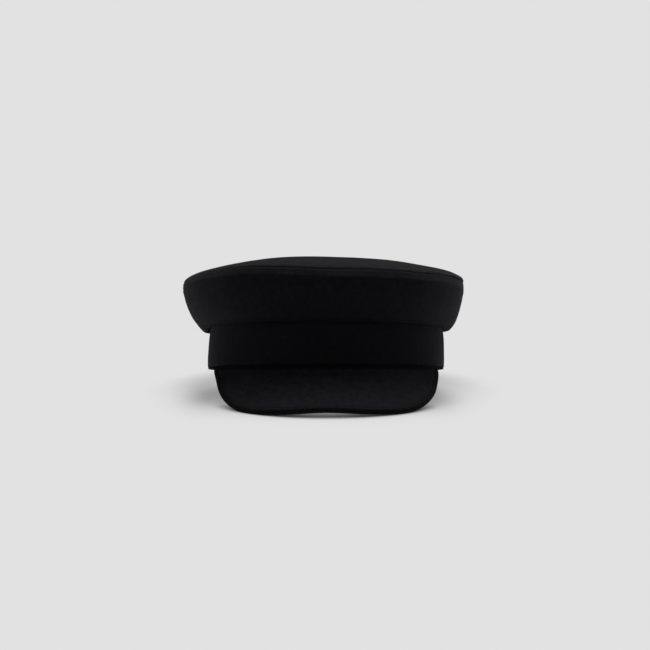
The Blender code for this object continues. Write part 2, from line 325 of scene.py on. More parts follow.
def settled(own, lift=True):
    """The points of a piece after the cap has settled."""
    left = read_curve(LEFT_SIDE, own[:, 2], SIDE_BLUR)
    right = read_curve(RIGHT_SIDE, own[:, 2], SIDE_BLUR)
    result = own.copy()
    result[:, 0] += to_side(own) ** 3 * np.where(own[:, 0] < 0, -left, right)
    if lift:
        raised = soft_step((own[:, 2] - LIFT_FROM) / LIFT_OVER)
        result[:, 2] += raised * read_curve(TOP_LIFT, own[:, 0], TOP_BLUR)
    return result


# %% [markdown]
# ## Seams pull, cloth puffs
# Right at a seam the stitches hold the cloth down. A few millimetres away it stands proud, over the
# seam allowance folded inside, and where that ends there is a faint step. The same function serves
# the wall and the top, so both cheeks of the valley match.

# %% Shape the cloth along the top seam
SEAM_SET_BACK = 0.0013
VALLEY_WIDTH = 0.0030
SEAM_PULL = 0.00050
NEEDLE_WIDTH = 0.0011
CHEEK_AT = 0.0050
ALLOWANCE_END = 0.0090
STEP_HEIGHT = 0.00015
STEP_WIDTH = 0.0012


def past_seam(distance):
    """0 where the layers are sewn together, 1 from seven millimetres on."""
    return soft_step((distance - 0.0010) / 0.0060)


def seam_relief(own, distance, puff):
    """How far the cloth stands out near the top seam, where its cheek is `puff` high."""
    valley = SEAM_SET_BACK * bump(distance, VALLEY_WIDTH)
    pulled = -valley - SEAM_PULL * bump(distance, NEEDLE_WIDTH)
    cheek = puff * past_seam(distance) * swell(distance / CHEEK_AT)
    step = STEP_HEIGHT / (1 + np.exp((distance - ALLOWANCE_END) / STEP_WIDTH))
    uneven = 1 + 0.7 * hills(own * (1, 1, 0.3), 0.022, 11)
    return pulled + (cheek + step) * uneven


# %% [markdown]
# ## A seam that is shut and not quite straight
# The seam's own line wavers a little and sags over the brow, because nobody sews a perfect curve in
# thick wool. Inside the valley the wall's edge is pressed up against the top, or light would fall
# through between the two pieces.

# %% Close the seam and let its line waver
SEAM_CLOSING = 0.00110
INNER_EDGE_AT = 0.0021
INNER_EDGE_WIDTH = 0.0012
SEAM_WAVER = 0.00055
WAVER_REACH = 0.012
# (across the cap in metres, down in mm)
SEAM_SAG = (
    (-0.100, 0.3), (-0.085, 0.7), (-0.070, 0.4), (-0.047, 0.5), (-0.017, 0.9), (-0.007, 1.3),
    (0.013, 1.0), (0.028, 0.5), (0.042, 1.0), (0.057, 1.0), (0.070, 0.6), (0.079, -0.1),
    (0.090, -0.9), (0.105, -0.6),
)
SAG_BLUR = 0.008
SAG_FADES_OVER = 0.04


def sewn_shut(own, distance):
    """The points of a wall panel with its inner edge pressed up against the top."""
    result = own.copy()
    result[:, 2] += SEAM_CLOSING * bump(distance - INNER_EDGE_AT, INNER_EDGE_WIDTH)
    return result


def wavered(own, distance):
    """The points with the seam's line wavering up and down, and sagging over the brow."""
    result = own.copy()
    in_front = np.clip(-own[:, 1] / SAG_FADES_OVER, 0, 1)
    sag = read_curve(SEAM_SAG, own[:, 0], SAG_BLUR) * in_front
    waver = SEAM_WAVER * hills(own * (1, 1, 0), 0.024, 4)
    result[:, 2] += (waver - sag) * bump(distance, WAVER_REACH)
    return result


# %% [markdown]
# ## The crown's wall
# Two panels of thick cloth: one over the brow, one round the back. They are sewn to the top along
# the upper edge and to each other at both sides, where the layers of two seams meet in a hard little
# corner that pokes out. The wall isn't pressed flat. It carries broad shallow dents, a few slanting
# puckers under the seam where the round top was eased in, and hardly visible upright creases.

# %% Say where the wall puckers
WALL_RADIUS = 0.105
# (degrees round the head, spread in degrees, slant, strength)
PUCKERS = (
    (-40, 3.0, 0.2, 0.7),
    (-17, 5.0, 0.6, 0.9),
    (2, 3.0, 0.5, 0.3),
    (25, 4.0, -0.9, 0.6),
    (37, 3.0, 0.8, 0.4),
    (58, 5.0, 0.9, 0.2),
    (-63, 4.0, -0.8, 0.1),
    (118, 6.0, 0.5, 0.9),
    (146, 5.0, -0.4, 0.8),
    (-113, 5.0, 0.4, 0.8),
    (-150, 7.0, 0.6, 0.9),
    (176, 4.0, 0.3, 0.7),
)
PUCKER_DEPTH = 0.00034
PUCKER_PITCH = 0.0042
PUCKERS_HANG = 0.004


def wall_puckers(own, distance):
    """Short slanting folds that hang from the top seam."""
    angle = round_head(own)
    along = np.radians(angle) * WALL_RADIUS
    relief = np.zeros(len(own))
    for centre, spread, slant, strength in PUCKERS:
        near = bump(turn_between(angle, centre), spread)
        off = along - math.radians(centre) * WALL_RADIUS + slant * distance
        relief += strength * near * np.cos(2 * math.pi * off / PUCKER_PITCH)
    return PUCKER_DEPTH * relief * past_seam(distance) * swell(distance / PUCKERS_HANG)


# %% [markdown]
# ## The side seams
# Each one has soft cheeks on both sides and ends in its hard corner at the top. Near it both panels
# are turned towards each other by a quarter of a degree, so that they touch.

# %% Shape and close the side seams
SIDE_SEAM = 94.0
CORNER_OUT = {-1: 0.0019, 1: 0.0012}
CORNER_SPREAD = 1.9
CORNER_REACH = 0.0045
SIDE_CHEEK = 0.00040
SIDE_CHEEK_AT = 0.0030
SIDE_CLOSING = 0.24
SIDE_CLOSING_SPREAD = 1.1


def side_corners(own, distance):
    """The hard corners where the side seams meet the top seam, and the side seams' cheeks."""
    angle = round_head(own)
    relief = np.zeros(len(own))
    for side in (-1, 1):
        off = turn_between(angle, side * SIDE_SEAM)
        relief += CORNER_OUT[side] * bump(off, CORNER_SPREAD) * bump(distance, CORNER_REACH)
        reach = np.abs(off) * math.radians(1) * WALL_RADIUS / SIDE_CHEEK_AT
        relief += SIDE_CHEEK * swell(reach) * np.clip(distance / 0.006, 0, 1) * (reach < 6)
    return relief


def side_seams_shut(own):
    """The points turned a little round the head, so the two panels press together."""
    angle = round_head(own)
    turn = np.zeros(len(own))
    for side in (-1, 1):
        off = turn_between(angle, side * SIDE_SEAM)
        turn -= np.sign(off) * SIDE_CLOSING * bump(off, SIDE_CLOSING_SPREAD)
    turn = np.radians(turn)
    result = own.copy()
    result[:, 0] = own[:, 0] * np.cos(turn) - own[:, 1] * np.sin(turn)
    result[:, 1] = own[:, 0] * np.sin(turn) + own[:, 1] * np.cos(turn)
    return result


# %% [markdown]
# ## Where shade is painted
# In a seam, under the hem and along the peak's root the wool is darkened by painted shade. There
# the wool doesn't shimmer, it is simply black. Each point of a piece carries a number from 0 to 1
# that says how much shade is painted on it. The finish darkens with it, and faces where it is over a
# half get a shaded copy of the wool without sheen.

# %% Mark the painted shade
MOSTLY_SHADED = 0.5
SEAM_SHADE_WIDTH = 0.0013


def mark_painted_shade(piece, amount):
    """Writes how much painted shade each point of a piece carries, and sorts its faces by it."""
    mesh = piece.data
    layer = mesh.attributes.new("painted_shade", "FLOAT", "POINT")
    layer.data.foreach_set("value", np.clip(amount, 0, 1).astype(np.float32))
    corners = np.empty(len(mesh.loops), np.int32)
    mesh.loops.foreach_get("vertex_index", corners)
    flat = amount[corners].reshape(-1, 4).mean(1) > MOSTLY_SHADED
    mesh.polygons.foreach_set("material_index", flat.astype(np.int32))


# %% [markdown]
# ## A crisp hem
# The wall's lower edge is turned in over the band and pressed, so it shows a crisp fold with a dark
# line of shade under it. The solid's fold is rounder than that. A superellipse squares a round
# corner without cutting it: points on the diagonal move out, those on the axes stay.

# %% Press the hem
HEM_ROUND = 0.0026
HEM_SQUARENESS = 5.0
HEM_STATIONS = range(-180, 180, 3)


def pressed_hem(own):
    """The points of a wall panel with the fold of the hem pressed to a crisp corner."""
    angle = round_head(own)
    radius = np.hypot(own[:, 0], own[:, 1])
    stations, lowest = [], []
    for station in HEM_STATIONS:
        near = np.flatnonzero(np.abs(turn_between(angle, station)) < 1.0)
        if len(near):
            stations.append(station)
            lowest.append(near[own[near, 2].argmin()])
    hem_radius = np.interp(angle, stations, radius[lowest], period=360)
    hem_height = np.interp(angle, stations, own[lowest, 2], period=360)
    out = np.clip((radius - hem_radius) / HEM_ROUND, 0, None)
    down = np.clip((hem_height + HEM_ROUND - own[:, 2]) / HEM_ROUND, 0, None)
    rounded = np.hypot(out, down)
    squared = (out**HEM_SQUARENESS + down**HEM_SQUARENESS) ** (1 / HEM_SQUARENESS)
    share = np.clip(2 - rounded, 0, 1) * (1 - to_side(own) ** 4)
    grown = 1 + (rounded / np.maximum(squared, 1e-6) - 1) * share
    in_corner = out * down > 0
    new_radius = hem_radius + out * grown * HEM_ROUND
    new_height = hem_height + HEM_ROUND - down * grown * HEM_ROUND
    result = own.copy()
    result[:, :2] *= (np.where(in_corner, new_radius, radius) / radius)[:, None]
    result[:, 2] = np.where(in_corner, new_height, own[:, 2])
    return result


# %% [markdown]
# ## Sewing both panels
# The panels differ only in their solid and in the seed of their dents. The order matters: the hem is
# pressed first, then the relief is added along the way out of the cap, and the seams are closed last,
# so that nothing opens them again.

# %% Sew the wall
ROLL = 0.0011
HEM_LEVEL = 0.036
WALL_PUFF = 0.00110


def hang_wall(node, seed):
    """One panel of the wall: cage, rolled edges, smoothing, then what the cloth does."""
    cage = cage_from(node)
    roll_cut_edges(cage, ROLL)
    wall = smooth_piece(cage, node + "_cloth")
    own = points_of(wall)
    distance = from_seam(own)
    # painted shade: the hem's downward faces, which would otherwise catch the table's light
    faces_down = np.clip(-2 * normals_of(wall)[:, 2] - 0.9, 0, 1)
    painted_shade_under_hem = faces_down * np.clip((HEM_LEVEL - own[:, 2]) / 0.003, 0, 1)
    freed = np.clip(distance / 0.010, 0, 1) * np.clip((own[:, 2] - 0.030) / 0.010, 0, 1)
    dents = 0.0010 * hills(own * (1, 1, 0.7), 0.050, seed) + 0.00035 * hills(own, 0.017, seed + 1)
    creases = 0.00016 * hills(own * (1, 1, 0.12), 0.0042, seed + 2)
    creases *= 1 - 0.75 * to_side(own) ** 2
    relief = freed * (dents + creases) + seam_relief(own, distance, WALL_PUFF)
    relief += wall_puckers(own, distance) + side_corners(own, distance)
    own = pressed_hem(own)
    own += outwards(own) * relief[:, None]
    own = side_seams_shut(sewn_shut(own, distance))
    place(wall, settled(wavered(own, distance)))
    # painted shade under the hem and along the top seam
    mark_painted_shade(wall, np.maximum(painted_shade_under_hem, bump(distance, SEAM_SHADE_WIDTH)))
    return wall


crown_front = hang_wall("crown_front", 3)
crown_back = hang_wall("crown_back", 8)

# %% [markdown]
# ## The crown's top
# One oval of cloth, steamed over a block into a low dome. It keeps a few soft hollows where hands
# have taken hold of it, and ripples that run round with the seam, because the edge of the oval was
# eased into a shorter line.

# %% Sew the top
TOP_PUFF = 0.00010
cage = cage_from("crown_top")
roll_cut_edges(cage, ROLL)
crown_top = smooth_piece(cage, "crown_top_cloth")
own = points_of(crown_top)
distance = from_seam(own)
freed = np.clip(distance / 0.012, 0, 1)
hollows = 0.0012 * hills(own * (1, 1, 0.2), 0.062, 21)
hollows += 0.0004 * hills(own * (1, 1, 0.2), 0.022, 22)

# %% [markdown]
# ## Ripples on the top
# The ripples follow the seam at growing distances, like contour lines. The distance is counted from
# a smoothed outline, so the side corners don't fold them, and a slow noise bends them and lets them
# come and go.

# %% Ripple the top and put it in place
RIPPLE_HEIGHT = 0.00030
RIPPLE_PITCH = 0.0075
RIPPLES_END = 0.045
even_radii = sum(np.roll(SEAM_RADII, step) for step in range(-3, 4)) / 7
outline = np.interp(round_head(own), SEAM_ANGLES, even_radii, period=360)
ring = outline - np.hypot(own[:, 0], own[:, 1])
where_rippled = np.clip(0.45 + 1.3 * hills(own * (1, 1, 0), 0.055, 23), 0, 1)
bent = 2.2 * hills(own * (1, 1, 0), 0.040, 24)
ripples = RIPPLE_HEIGHT * np.sin(2 * math.pi * ring / RIPPLE_PITCH + bent)
ripples *= where_rippled * np.clip(distance / 0.006, 0, 1) * bump(ring, RIPPLES_END)
relief = freed * hollows + ripples + seam_relief(own, distance, TOP_PUFF)
relief += side_corners(own, distance) * bump(np.maximum(distance - 0.003, 0), 0.003)
own += outwards(own) * relief[:, None]
place(crown_top, settled(wavered(own, distance)))
# painted shade along the top seam
mark_painted_shade(crown_top, bump(distance, SEAM_SHADE_WIDTH))

# %% [markdown]
# ## The head band
# A strip folded double round a stiff tape, so it stands straight and its lower edge is a round fold.
# The fold is made by drawing both faces together towards the edge along a half circle. Upright
# creases show beside the temples, where the tape bends most.

# %% Sew the band
FOLD_RADIUS = 0.00145
band = smooth_piece(cage_from("band"), "band_cloth")
own = points_of(band)
facing = normals_of(band)
radius = np.hypot(own[:, 0], own[:, 1])
level = np.clip(own[:, 2] / FOLD_RADIUS, 0, 1)
tuck = FOLD_RADIUS * (1 - np.sqrt(1 - (1 - level) ** 2))
outer = np.sign(facing[:, 0] * own[:, 0] + facing[:, 1] * own[:, 1])
near_temples = np.clip(np.abs(own[:, 0]) / 0.08, 0, 1) ** 2
upright = 0.00014 * hills(own * (1, 1, 0.06), 0.0036, 31) * near_temples
waves = 0.00045 * hills(own * (1, 1, 0.5), 0.045, 32) + 0.00012 * hills(own, 0.012, 33)
kept_clear = np.clip((0.030 - own[:, 2]) / 0.008, 0, 1) * np.clip(own[:, 2] / 0.006, 0.25, 1)
move = kept_clear * (upright + waves) - 0.8 * tuck * outer
own[:, :2] *= (1 + move / radius)[:, None]
place(band, settled(own, lift=False))

# %% [markdown]
# ## What the band tells its neighbours
# The peak is sewn in under the band's lower edge, so it must know how far the band reaches there, in
# every direction from one temple over the brow to the other. On the band itself shade is painted at
# two places: along that edge, and under the hem of the wall, where the hem shades it.

# %% Trace the band's lower edge and mark its painted shade
LOW_ON_BAND = 0.004
band_sweeps = np.arange(-90.0, 91.0, 2.0)
around = round_head(own)
low_down = own[:, 2] < LOW_ON_BAND
band_reaches = [radius[low_down & (np.abs(around - sweep) < 1.5)].max() for sweep in band_sweeps]
# painted shade under the wall's hem and along the band's lower edge
shaded_by_hem = 0.5 * np.clip((own[:, 2] - 0.0275) / 0.0020, 0, 1)
painted_shade_along_edge = np.clip(1.6 - own[:, 2] / 0.0008, 0, 1)
mark_painted_shade(band, np.maximum(shaded_by_hem, painted_shade_along_edge))

# %% [markdown]
# ## The peak
# Cloth over a curved board, closed along its edge: the outer three millimetres are a firm roll, and
# a shallow groove runs behind it, where the cloth goes from the roll to the board. To put the groove
# in its place, the peak's outer edge is traced first, and every point learns how far it is from it.

# %% Cut the peak and trace its edge
PEAK_ROLL = 0.0006
cage = cage_from("peak")
roll_cut_edges(cage, PEAK_ROLL)
peak = smooth_piece(cage, "peak_cloth")
own = points_of(peak)
sweep = round_head(own)
reach = np.hypot(own[:, 0], own[:, 1])
edge_points = []
for angle in np.arange(math.ceil(sweep.min()), math.floor(sweep.max()), 1.0):
    near = np.flatnonzero(np.abs(sweep - angle) < 0.7)
    edge_points.append(own[near[reach[near].argmax()]])
edge_points = np.array(edge_points)
neighbours = np.roll(edge_points, 1, 0) + np.roll(edge_points, -1, 0)
edge_points = (2 * edge_points + neighbours)[1:-1] / 4


def from_edge(own):
    """How far each point is from the peak's outer edge."""
    nearest = np.full(len(own), 1.0)
    for start, step in zip(edge_points[:-1], np.diff(edge_points, axis=0)):
        part = np.clip(((own - start) @ step) / (step @ step), 0, 1)
        nearest = np.minimum(nearest, np.linalg.norm(own - start - part[:, None] * step, axis=1))
    return nearest


edge_length = np.linalg.norm(np.diff(edge_points, axis=0), axis=1).sum()
print("the peak's edge is", round(1000 * edge_length), "mm long")

# %% [markdown]
# ## The peak's relief
# Only the upper face is shaped: the roll along the edge, the groove behind it, and the soft waves of
# a board that has been bent by hand. In front of the band the cloth dips a little towards its root.
# Under the band it is drawn up, so that no light falls through between the two.

# %% Press the groove and the roll
GROOVE_AT = 0.0034
GROOVE_DEPTH = 0.00045
ROLL_AT = 0.0016
ROLL_HEIGHT = 0.00030
ROOT_DIP = 0.0009
ROOT_DRAWN_UP = 0.0005
facing = normals_of(peak)
upper = np.clip(facing[:, 2] / 0.35, 0, 1)
inwards = from_edge(own)
groove = -GROOVE_DEPTH * bump(inwards - GROOVE_AT, 0.00070)
roll = ROLL_HEIGHT * bump(inwards - ROLL_AT, 0.0011)
board = 0.00040 * hills(own * (1, 1, 0.4), 0.040, 41) + 0.00010 * hills(own, 0.009, 42)
free = np.clip((inwards - 0.002) / 0.008, 0, 1) * np.clip(-own[:, 2] / 0.008, 0, 1)
band_reach = np.interp(sweep, band_sweeps, band_reaches)
in_front_of_band = np.clip((reach - band_reach) / 0.0008, 0, 1)
root_dip = -ROOT_DIP * bump(own[:, 2], 0.0030) * np.clip(inwards / 0.010, 0, 1) * in_front_of_band
drawn_up = ROOT_DRAWN_UP * bump(own[:, 2], 0.0012) * (1 - in_front_of_band)
own += facing * (upper * (groove + roll + root_dip + free * board))[:, None]
own[:, 2] += drawn_up
place(peak, settled(own, lift=False))

# %% [markdown]
# ## The peak's painted shade
# Shade is painted in four places: a dark line under the band at the root, a darkening of the upper
# part towards the root, the groove, and the turned edge.

# %% Mark the peak's painted shade
EDGE_SHADE_WIDTH = 0.0031
# painted shade: the root line, the upper part near the root, the groove and the edge
root = np.clip(1.7 + own[:, 2] / 0.0022, 0, 1) * np.clip(inwards / 0.006, 0, 1)
painted_shade_near_root = 0.40 * np.clip(1 + own[:, 2] / 0.014, 0, 1)
painted_shade_in_groove = 0.5 * bump(inwards - GROOVE_AT, 0.0006)
painted_shade_on_edge = 0.58 * np.clip((EDGE_SHADE_WIDTH - inwards) / 0.0008, 0, 1)
mark_painted_shade(peak, np.max((root, painted_shade_near_root, painted_shade_in_groove, painted_shade_on_edge), axis=0))

# %% [markdown]
# ## The grain of the cloth
# A weave has a direction, and it bends with the cloth. So every piece gets a UV map called grain,
# in metres: along the piece and up the piece, as it lay on the cutting table. The pattern then has
# the same size everywhere. Where a piece closes round the head its last faces would run backwards
# through the whole map, so their corners are counted on past the full turn.

# %% Lay the grain
HEAD_ROUND = 2 * math.pi * WALL_RADIUS
SLOPE_STRETCH = 1.15


def lay_grain(piece, along, up, whole_turn=0.0):
    """Writes the grain map of a piece from one pair of numbers per point."""
    mesh = piece.data
    corners = np.empty(len(mesh.loops), np.int32)
    mesh.loops.foreach_get("vertex_index", corners)
    totals = np.empty(len(mesh.polygons), np.int32)
    mesh.polygons.foreach_get("loop_total", totals)
    u, v = along[corners], up[corners]
    if whole_turn:
        firsts = np.concatenate([[0], np.cumsum(totals)[:-1]])
        widest = np.repeat(np.maximum.reduceat(u, firsts), totals)
        u = np.where(widest - u > whole_turn / 2, u + whole_turn, u)
    grain = mesh.uv_layers.new(name="grain")
    grain.data.foreach_set("uv", np.stack([u, v], 1).astype(np.float32).ravel())


for piece in (crown_front, crown_back, band):
    own = points_of(piece)
    lay_grain(piece, round_head(own) / 360 * HEAD_ROUND, own[:, 2], HEAD_ROUND)
for piece in (crown_top, peak):
    own = points_of(piece)
    lay_grain(piece, own[:, 0], own[:, 1] * SLOPE_STRETCH)

# %% [markdown]
# ## Fulled black wool
# The cloth is a fine twill that was washed until it matted, then brushed. Close by one sees three
# things: faint slanting ridges of the twill, a tangle of short fibres lying over them, and patches
# where the nap is thicker or rubbed. Now and then a speck of lint sits on it. All of this is one
# node group, so that crown, band and peak are plainly the same wool, each with its own strength.

# %% Build the wool's node group


def socket(tree, name, kind, default=None, output=False):
    """Adds a named input or output to a node group."""
    way = "OUTPUT" if output else "INPUT"
    made = tree.interface.new_socket(name=name, in_out=way, socket_type=kind)
    if default is not None:
        made.default_value = default


class Bench:
    """Sets nodes down in a tree and joins them, so that a recipe reads like a sum."""

    def __init__(self, tree):
        self.tree = tree

    def node(self, kind, settings=None, **inputs):
        """Adds a node, with its settings, and feeds its inputs by name."""
        made = self.tree.nodes.new(kind)
        for name, value in (settings or {}).items():
            setattr(made, name, value)
        for name, value in inputs.items():
            self.feed(made.inputs[name.replace("_", " ")], value)
        return made

    def feed(self, target, value):
        """Joins a socket to an input, or gives the input a plain value."""
        if isinstance(value, bpy.types.NodeSocket):
            self.tree.links.new(value, target)
        else:
            target.default_value = value

    def math(self, operation, first, second=0.0, third=0.0, clamp=False):
        """Adds one step of arithmetic and returns its result."""
        made = self.tree.nodes.new("ShaderNodeMath")
        made.operation = operation
        made.use_clamp = clamp
        for target, value in zip(made.inputs, (first, second, third)):
            self.feed(target, value)
        return made.outputs[0]

    def scaled(self, vector, factors):
        """Stretches a vector by a factor for each axis."""
        made = self.tree.nodes.new("ShaderNodeVectorMath")
        made.operation = "MULTIPLY"
        self.feed(made.inputs[0], vector)
        made.inputs[1].default_value = factors
        return made.outputs[0]


wool_group = bpy.data.node_groups.new("fulled wool", "ShaderNodeTree")
socket(wool_group, "Wool", "NodeSocketColor", (0.01, 0.01, 0.011, 1))
socket(wool_group, "Lint", "NodeSocketColor", (0.2, 0.2, 0.2, 1))
socket(wool_group, "Patchiness", "NodeSocketFloat", 0.35)
socket(wool_group, "Nap", "NodeSocketFloat", 1.0)
socket(wool_group, "Twill", "NodeSocketFloat", 0.3)
socket(wool_group, "Color", "NodeSocketColor", output=True)
socket(wool_group, "Roughness", "NodeSocketFloat", output=True)
socket(wool_group, "Height", "NodeSocketFloat", output=True)

bench = Bench(wool_group)
given = bench.node("NodeGroupInput")
place_on_object = bench.node("ShaderNodeTexCoord").outputs["Object"]
grain_map = bench.node("ShaderNodeUVMap", {"uv_map": "grain"}).outputs["UV"]

# %% [markdown]
# ## Patches and streaks
# Broad patches come from noise in the room of the object, so they run over seams without a break.
# Fine streaks come from noise on the grain map, stretched along the cloth as it came off the brush.

# %% Put patches and streaks in the nap
patches = bench.node(
    "ShaderNodeTexNoise",
    Vector=place_on_object,
    Scale=240.0,
    Detail=6.0,
    Roughness=0.7,
)
streaks = bench.node(
    "ShaderNodeTexNoise",
    Vector=bench.scaled(grain_map, (900.0, 170.0, 0.0)),
    Scale=1.0,
    Detail=2.0,
    Roughness=0.5,
)
patch = bench.math("SUBTRACT", patches.outputs["Fac"], 0.5)
streak = bench.math("SUBTRACT", streaks.outputs["Fac"], 0.5)

# %% [markdown]
# ## The tangle of fibres
# Where a twisted noise crosses its middle value it draws thin winding lines. Those lines are the
# single fibres of the nap.

# %% Tangle the fibres
tangle = bench.node(
    "ShaderNodeTexNoise",
    Vector=place_on_object,
    Scale=1100.0,
    Detail=3.0,
    Roughness=0.65,
    Distortion=1.6,
)
ridge = bench.math("ABSOLUTE", bench.math("SUBTRACT", tangle.outputs["Fac"], 0.5))
fibres = bench.math("SUBTRACT", 1.0, bench.math("MULTIPLY", ridge, 5.0, clamp=True))

# %% [markdown]
# ## The twill under the nap
# Two sine waves on the grain map, one slanting and one finer across it, stand for the weave. A noise
# bends them, because fulling pulls the threads out of line.

# %% Weave the twill
TWILL_PITCH = 0.0011
bent = bench.node("ShaderNodeTexNoise", Vector=place_on_object, Scale=260.0, Detail=2.0)
turns = bench.scaled(grain_map, (2 * math.pi / TWILL_PITCH,) * 3)
axes = bench.node("ShaderNodeSeparateXYZ", Vector=turns)
slant = bench.math("MULTIPLY_ADD", axes.outputs["Y"], 0.8, axes.outputs["X"])
phase = bench.math("MULTIPLY_ADD", bent.outputs["Fac"], 5.0, slant)
twill = bench.math("SINE", phase)
threads = bench.math("SINE", bench.math("MULTIPLY_ADD", slant, -1.9, axes.outputs["Y"]))

# %% [markdown]
# ## Lint, light and height
# Lint sits in a few cells of a Voronoi pattern. Then the parts are added up: how light the wool is,
# how rough, and how high it stands. Painted shade leaves the wool only a quarter of its colour.

# %% Add lint and hand out the group's results
specks = bench.node("ShaderNodeTexVoronoi", Vector=place_on_object, Scale=190.0)
small = bench.math("LESS_THAN", specks.outputs["Distance"], 0.060)
rare = bench.node("ShaderNodeSeparateColor", Color=specks.outputs["Color"])
lint = bench.math("MULTIPLY", small, bench.math("GREATER_THAN", rare.outputs["Red"], 0.80))

nap = bench.math("MULTIPLY", fibres, given.outputs["Nap"])
weave = bench.math("MULTIPLY_ADD", threads, 0.35, twill)
height = bench.math("MULTIPLY_ADD", weave, bench.math("MULTIPLY", given.outputs["Twill"], 0.5), nap)
height = bench.math("MULTIPLY_ADD", patch, 1.5, height)

uneven = bench.math("MULTIPLY_ADD", streak, 0.8, bench.math("MULTIPLY", patch, 2.0))
light = bench.math("MULTIPLY_ADD", uneven, given.outputs["Patchiness"], 1.0)
light = bench.math("MULTIPLY", light, bench.math("MULTIPLY_ADD", fibres, 0.55, 0.72))
# painted shade: the colour is darkened where the mesh carries painted shade
painted_shade_amount = bench.node("ShaderNodeAttribute", {"attribute_name": "painted_shade"}).outputs["Fac"]
light = bench.math("MULTIPLY", light, bench.math("MULTIPLY_ADD", painted_shade_amount, -0.75, 1.0))
tinted = bench.node("ShaderNodeVectorMath", {"operation": "SCALE"}, Scale=light)
bench.feed(tinted.inputs[0], given.outputs["Wool"])
flecked = bench.node("ShaderNodeMix", {"data_type": "RGBA"})
bench.feed(flecked.inputs["Factor"], bench.math("MULTIPLY", lint, 0.45))
bench.feed(flecked.inputs[6], tinted.outputs[0])
bench.feed(flecked.inputs[7], given.outputs["Lint"])
roughness = bench.math("MULTIPLY_ADD", patch, -0.25, 0.88)

results = bench.node("NodeGroupOutput")
bench.feed(results.inputs["Color"], flecked.outputs[2])
bench.feed(results.inputs["Roughness"], roughness)
bench.feed(results.inputs["Height"], height)

# %% [markdown]
# ## Why wool looks pale at its edges
# Fibres stand up from the cloth. Looked at straight on they hide in their own shade, so the wool is
# nearly black. Looked at along the cloth they overlap, catch the light and veil it: the top and the
# turning sides look grey. Principled's sheen is made for just this. It is a plain number on the
# shader, so it also survives an export.

# %% Mix the wools
LINT_GREY = (0.10, 0.10, 0.11, 1)
NAP_HEIGHT = 0.00016
SHEEN_TINT = (0.80, 0.82, 1.0, 1.0)


def wool(name, colour, patchiness, nap, twill, sheen):
    """One of the cap's wools: the shared group with its own strengths."""
    material = bpy.data.materials.new(name)
    material.use_nodes = True
    bench = Bench(material.node_tree)
    shader = material.node_tree.nodes["Principled BSDF"]
    cloth = bench.node(
        "ShaderNodeGroup",
        {"node_tree": wool_group},
        Wool=(*colour, 1),
        Lint=LINT_GREY,
        Patchiness=patchiness,
        Nap=nap,
        Twill=twill,
    )
    relief = bench.node(
        "ShaderNodeBump",
        Strength=0.55,
        Distance=NAP_HEIGHT,
        Height=cloth.outputs["Height"],
    )
    bench.feed(shader.inputs["Base Color"], cloth.outputs["Color"])
    bench.feed(shader.inputs["Roughness"], cloth.outputs["Roughness"])
    bench.feed(shader.inputs["Normal"], relief.outputs["Normal"])
    shader.inputs["Specular IOR Level"].default_value = 0.08
    shader.inputs["Sheen Weight"].default_value = sheen
    shader.inputs["Sheen Roughness"].default_value = 0.40
    shader.inputs["Sheen Tint"].default_value = SHEEN_TINT
    return material


# name, colour, patchiness, nap, twill, sheen
crown_wool = wool("crown_wool", (0.0044, 0.0044, 0.0060), 0.80, 1.1, 0.35, 0.055)
# painted light: the top is the wall's wool made paler and shinier
top_wool_painted_light = wool("top_wool_painted_light", (0.0058, 0.0058, 0.0070), 1.30, 1.8, 0.30, 0.115)
band_wool = wool("band_wool", (0.0050, 0.0050, 0.0070), 0.45, 0.4, 0.25, 0.045)
peak_wool = wool("peak_wool", (0.0068, 0.0068, 0.0092), 1.30, 3.0, 0.20, 0.044)
# a darker copy of the wool without sheen, for faces with painted shade
painted_shade_wool = wool("painted_shade_wool", (0.0062, 0.0062, 0.0078), 0.40, 0.8, 0.30, 0.0)

# %% [markdown]
# ## Dressing the cap
# Each cloth piece takes the place of its solid, rides on the cap's one body, and gets its wool. The
# faces marked with painted shade get the darker wool without sheen. The top is of the same cloth as
# the wall, but with a paler colour and a stronger sheen: painted light for the light from above.

# %% Give each piece its finish and its place in the cap
for piece, node, slot, finish in (
    (crown_front, "crown_front", "crown_wool", crown_wool),
    (crown_back, "crown_back", "crown_wool", crown_wool),
    (crown_top, "crown_top", "crown_wool", top_wool_painted_light),
    (band, "band", "band_wool", band_wool),
    (peak, "peak", "peak_wool", peak_wool),
):
    sorted_faces = np.empty(len(piece.data.polygons), np.int32)
    piece.data.polygons.foreach_get("material_index", sorted_faces)
    piece.data.materials.clear()
    piece.data.materials.append(finish)
    if sorted_faces.any():
        piece.data.materials.append(painted_shade_wool)
    piece.data.polygons.foreach_set("material_index", sorted_faces)
    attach(piece, "root")
    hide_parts(node)

# %% [markdown]
# ## The studio
# The cap lies on a milk-white table that is lit from above and from within. One large softbox hangs
# overhead, a little behind, so the crown throws a soft shade, and the front is lit only by what the
# table sends back. The table's own glow keeps that shade thin, and is darkened by painted shade where
# something stands close over it. A glowing table would also swallow the wide soft shade beside the
# band, so that shade is painted into the glow: it begins under the band's sides and fades outwards.
# The background that the camera sees has the table's brightness, so no horizon shows.

